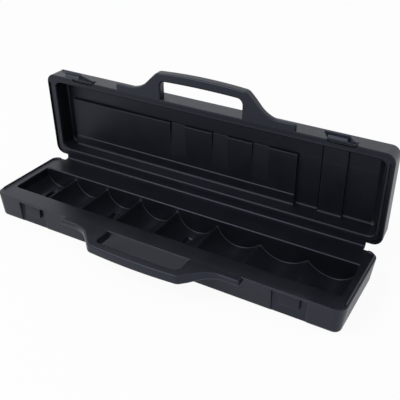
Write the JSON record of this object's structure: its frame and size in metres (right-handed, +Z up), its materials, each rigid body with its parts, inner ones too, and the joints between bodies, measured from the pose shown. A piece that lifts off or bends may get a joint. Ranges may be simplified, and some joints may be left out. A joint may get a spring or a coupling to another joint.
{
  "type": "hard tool case",
  "caption": "Long flat hard tool case with a fold-hinged lid held by swing latches, a compartment tray in the base and a split carry handle at the front.",
  "frame": {"origin": "centre of the base's footprint on the surface that the case lies on", "axes": "+X along the case's length, to the right seen from the handle side; +Y from the handle to the hinge; +Z up"},
  "size_m": [0.522, 0.2065, 0.2159],
  "materials": {
    "case_plastic": "fine-grained matt moulding, dark blue-grey",
    "latch_plastic": "smooth satin moulding, mid grey",
    "pin_steel": "plain drawn wire"
  },
  "bodies": {
    "base": {"base_outer_shell": "case_plastic", "base_inner_tray": "case_plastic", "base_handle_half": "case_plastic", "catch_left": "case_plastic", "catch_right": "case_plastic", "hinge_leaf_base": "case_plastic", "hinge_fold": "case_plastic"},
    "lid": {"hinge_leaf_lid": "case_plastic", "lid_outer_shell": "case_plastic", "lid_inner_panel": "case_plastic", "lid_handle_half": "case_plastic", "latch_pin_left": "pin_steel", "latch_pin_right": "pin_steel"},
    "left_latch": {"latch_left": "latch_plastic"},
    "right_latch": {"latch_right": "latch_plastic"}
  },
  "joints": [
    {"name": "lid_hinge", "type": "hinge", "parent": "base", "child": "lid", "pos_m": [0, 0.072, 0.037], "axis": [1, 0, 0], "range_deg": [-93, 87]},
    {"name": "left_latch_swing", "type": "hinge", "parent": "lid", "child": "left_latch", "pos_m": [-0.1945, 0.06877, 0.17502], "axis": [-1, 0, 0], "range_deg": [-37, 78]},
    {"name": "right_latch_swing", "type": "hinge", "parent": "lid", "child": "right_latch", "pos_m": [0.1945, 0.06877, 0.17502], "axis": [-1, 0, 0], "range_deg": [-37, 78]}
  ]
}
